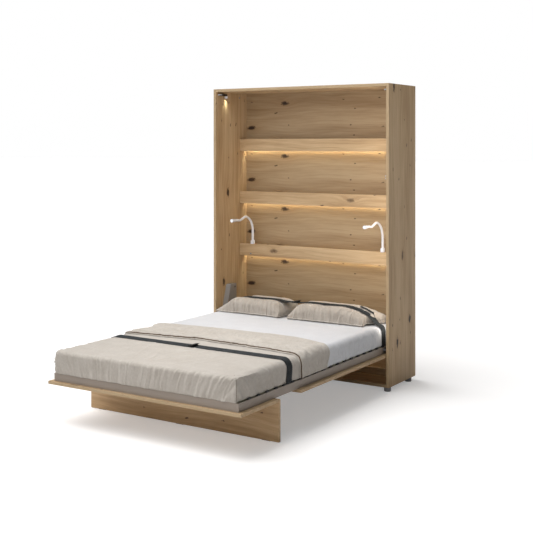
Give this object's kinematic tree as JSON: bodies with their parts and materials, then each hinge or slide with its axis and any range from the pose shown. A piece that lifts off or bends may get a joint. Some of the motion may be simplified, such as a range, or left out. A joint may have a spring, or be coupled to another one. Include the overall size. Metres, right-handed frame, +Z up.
{
  "type": "murphy wall bed",
  "caption": "Upright cabinet bed whose made-up bed folds down on side pivots onto a flap leg, with lit shelf rails and swan-neck lamps inside.",
  "frame": {"origin": "on the floor under the middle of the open bed's bounding box", "axes": "+Z up, +Y towards the wall behind the cabinet, +X to the right as seen from the foot end"},
  "size_m": [1.516, 2.282, 2.18],
  "materials": {
    "oak": "matt knotty oak decor board, cream edge bands",
    "frame_paint": "satin taupe powder coat",
    "slat_wood": "pressed beech slats",
    "black_plastic": "moulded black",
    "grey_plastic": "moulded light grey",
    "zinc_steel": "zinc plated",
    "brass": "sintered bush",
    "magnet_steel": "nickel plated",
    "strut_black": "black lacquered tube",
    "strut_chrome": "polished rod",
    "glide": "floor glide",
    "led_aluminium": "anodised",
    "led_glow": "opal light strip, glowing warm white",
    "sensor_blue": "blue-grey cap",
    "lamp_white": "white",
    "lamp_lens": "opal lens",
    "mattress_cloth": "knitted ticking",
    "sheet_cloth": "white cotton sheet",
    "bedspread_cloth": "washed linen, warm grey",
    "pillow_cloth": "washed linen, beige",
    "webbing": "dark grey webbing"
  },
  "bodies": {
    "cabinet": {"side_panel_left": "oak", "side_panel_right": "oak", "top_panel": "oak", "bottom_panel": "oak", "back_boards": "oak", "cross_rail": "oak", "wall_plates": "zinc_steel", "cabinet_feet": "grey_plastic", "fascia_boards": "oak", "shelf_boards": "oak", "led_battens": "oak", "led_profiles": "led_aluminium", "led_diffusers": "led_glow", "switch_housing": "black_plastic", "light_sensor": "sensor_blue", "spot_light": "lamp_white", "catch_pins": "zinc_steel", "pivot_plates": "zinc_steel", "pivot_bushes": "brass", "plate_screws": "zinc_steel", "strut_cover_left": "grey_plastic", "strut_cover_right": "grey_plastic", "strut_anchors": "zinc_steel", "damper_bodies": "black_plastic", "lamp_bases": "lamp_white"},
    "bed": {"bed_side_rails": "frame_paint", "bed_cross_rails": "frame_paint", "bed_centre_beam": "frame_paint", "slats": "slat_wood", "slat_holders": "black_plastic", "facade_main": "oak", "facade_foot": "oak", "pivot_arms": "zinc_steel", "pivot_pins": "zinc_steel", "leg_brackets": "frame_paint", "mattress": "mattress_cloth", "bedspread": "bedspread_cloth", "fitted_sheet": "sheet_cloth", "pillow_left": "pillow_cloth", "pillow_right": "pillow_cloth", "strap_foot": "webbing", "strap_head": "webbing", "strap_buckles": "black_plastic"},
    "leg": {"leg_board": "oak", "leg_pins": "zinc_steel", "leg_magnets": "magnet_steel", "leg_glides": "glide"},
    "switch": {"switch_button": "sensor_blue"},
    "strut_left_cylinder": {"strut_cylinder_left": "strut_black"},
    "strut_left_rod": {"strut_rod_left": "strut_chrome"},
    "damper_left_plunger": {"damper_plunger_left": "grey_plastic"},
    "lamp_left": {"lamp_neck_left": "lamp_white"},
    "lamp_left_head": {"lamp_head_left": "lamp_white", "lamp_lens_left": "lamp_lens"},
    "strut_right_cylinder": {"strut_cylinder_right": "strut_black"},
    "strut_right_rod": {"strut_rod_right": "strut_chrome"},
    "damper_right_plunger": {"damper_plunger_right": "grey_plastic"},
    "lamp_right": {"lamp_neck_right": "lamp_white"},
    "lamp_right_head": {"lamp_head_right": "lamp_white", "lamp_lens_right": "lamp_lens"}
  },
  "joints": [
    {"name": "bed_fold", "type": "hinge", "parent": "cabinet", "child": "bed", "pos_m": [0, 0.7305, 0.2835], "axis": [-1, 0, 0], "range_deg": [0, 90]},
    {"name": "leg_fold", "type": "hinge", "parent": "bed", "child": "leg", "pos_m": [0, -0.736, 0.247], "axis": [1, 0, 0], "range_deg": [0, 90]},
    {"name": "strut_left_swing", "type": "hinge", "parent": "cabinet", "child": "strut_left_cylinder", "pos_m": [-0.719, 0.8805, 0.5835], "axis": [-1, 0, 0], "range_deg": [0, 8.51]},
    {"name": "strut_left_slide", "type": "slide", "parent": "strut_left_cylinder", "child": "strut_left_rod", "axis": [0, -0.2272, -0.9738], "range_m": [0, 0.10098]},
    {"name": "damper_left_press", "type": "slide", "parent": "cabinet", "child": "damper_left_plunger", "axis": [0, 1, 0], "range_m": [0, 0.02], "stiffness_N_per_m": 300},
    {"name": "lamp_left_swivel", "type": "hinge", "parent": "cabinet", "child": "lamp_left", "pos_m": [-0.616, 1.03, 0.972], "axis": [0, 0, 1], "range_deg": [0, 90]},
    {"name": "lamp_left_tilt", "type": "hinge", "parent": "lamp_left", "child": "lamp_left_head", "pos_m": [-0.616, 0.8, 1.149], "axis": [1, 0, 0], "range_deg": [-20, 20]},
    {"name": "strut_right_swing", "type": "hinge", "parent": "cabinet", "child": "strut_right_cylinder", "pos_m": [0.719, 0.8805, 0.5835], "axis": [-1, 0, 0], "range_deg": [0, 8.51]},
    {"name": "strut_right_slide", "type": "slide", "parent": "strut_right_cylinder", "child": "strut_right_rod", "axis": [0, -0.2272, -0.9738], "range_m": [0, 0.10098]},
    {"name": "damper_right_press", "type": "slide", "parent": "cabinet", "child": "damper_right_plunger", "axis": [0, 1, 0], "range_m": [0, 0.02], "stiffness_N_per_m": 300},
    {"name": "lamp_right_swivel", "type": "hinge", "parent": "cabinet", "child": "lamp_right", "pos_m": [0.543, 1.03, 0.972], "axis": [0, 0, -1], "range_deg": [0, 90]},
    {"name": "lamp_right_tilt", "type": "hinge", "parent": "lamp_right", "child": "lamp_right_head", "pos_m": [0.543, 0.8, 1.149], "axis": [1, 0, 0], "range_deg": [-20, 20]},
    {"name": "switch_press", "type": "slide", "parent": "cabinet", "child": "switch", "axis": [0, 1, 0], "range_m": [0, 0.0015], "stiffness_N_per_m": 200}
  ],
  "couplings": [
    {"joint": "strut_left_swing", "follows": "bed_fold", "ratio": 0.093411},
    {"joint": "strut_left_slide", "follows": "bed_fold", "m_per_rad": 0.063965},
    {"joint": "lamp_left_swivel", "follows": "bed_fold", "ratio": 1},
    {"joint": "strut_right_swing", "follows": "bed_fold", "ratio": 0.093411},
    {"joint": "strut_right_slide", "follows": "bed_fold", "m_per_rad": 0.063965},
    {"joint": "lamp_right_swivel", "follows": "bed_fold", "ratio": 1}
  ]
}
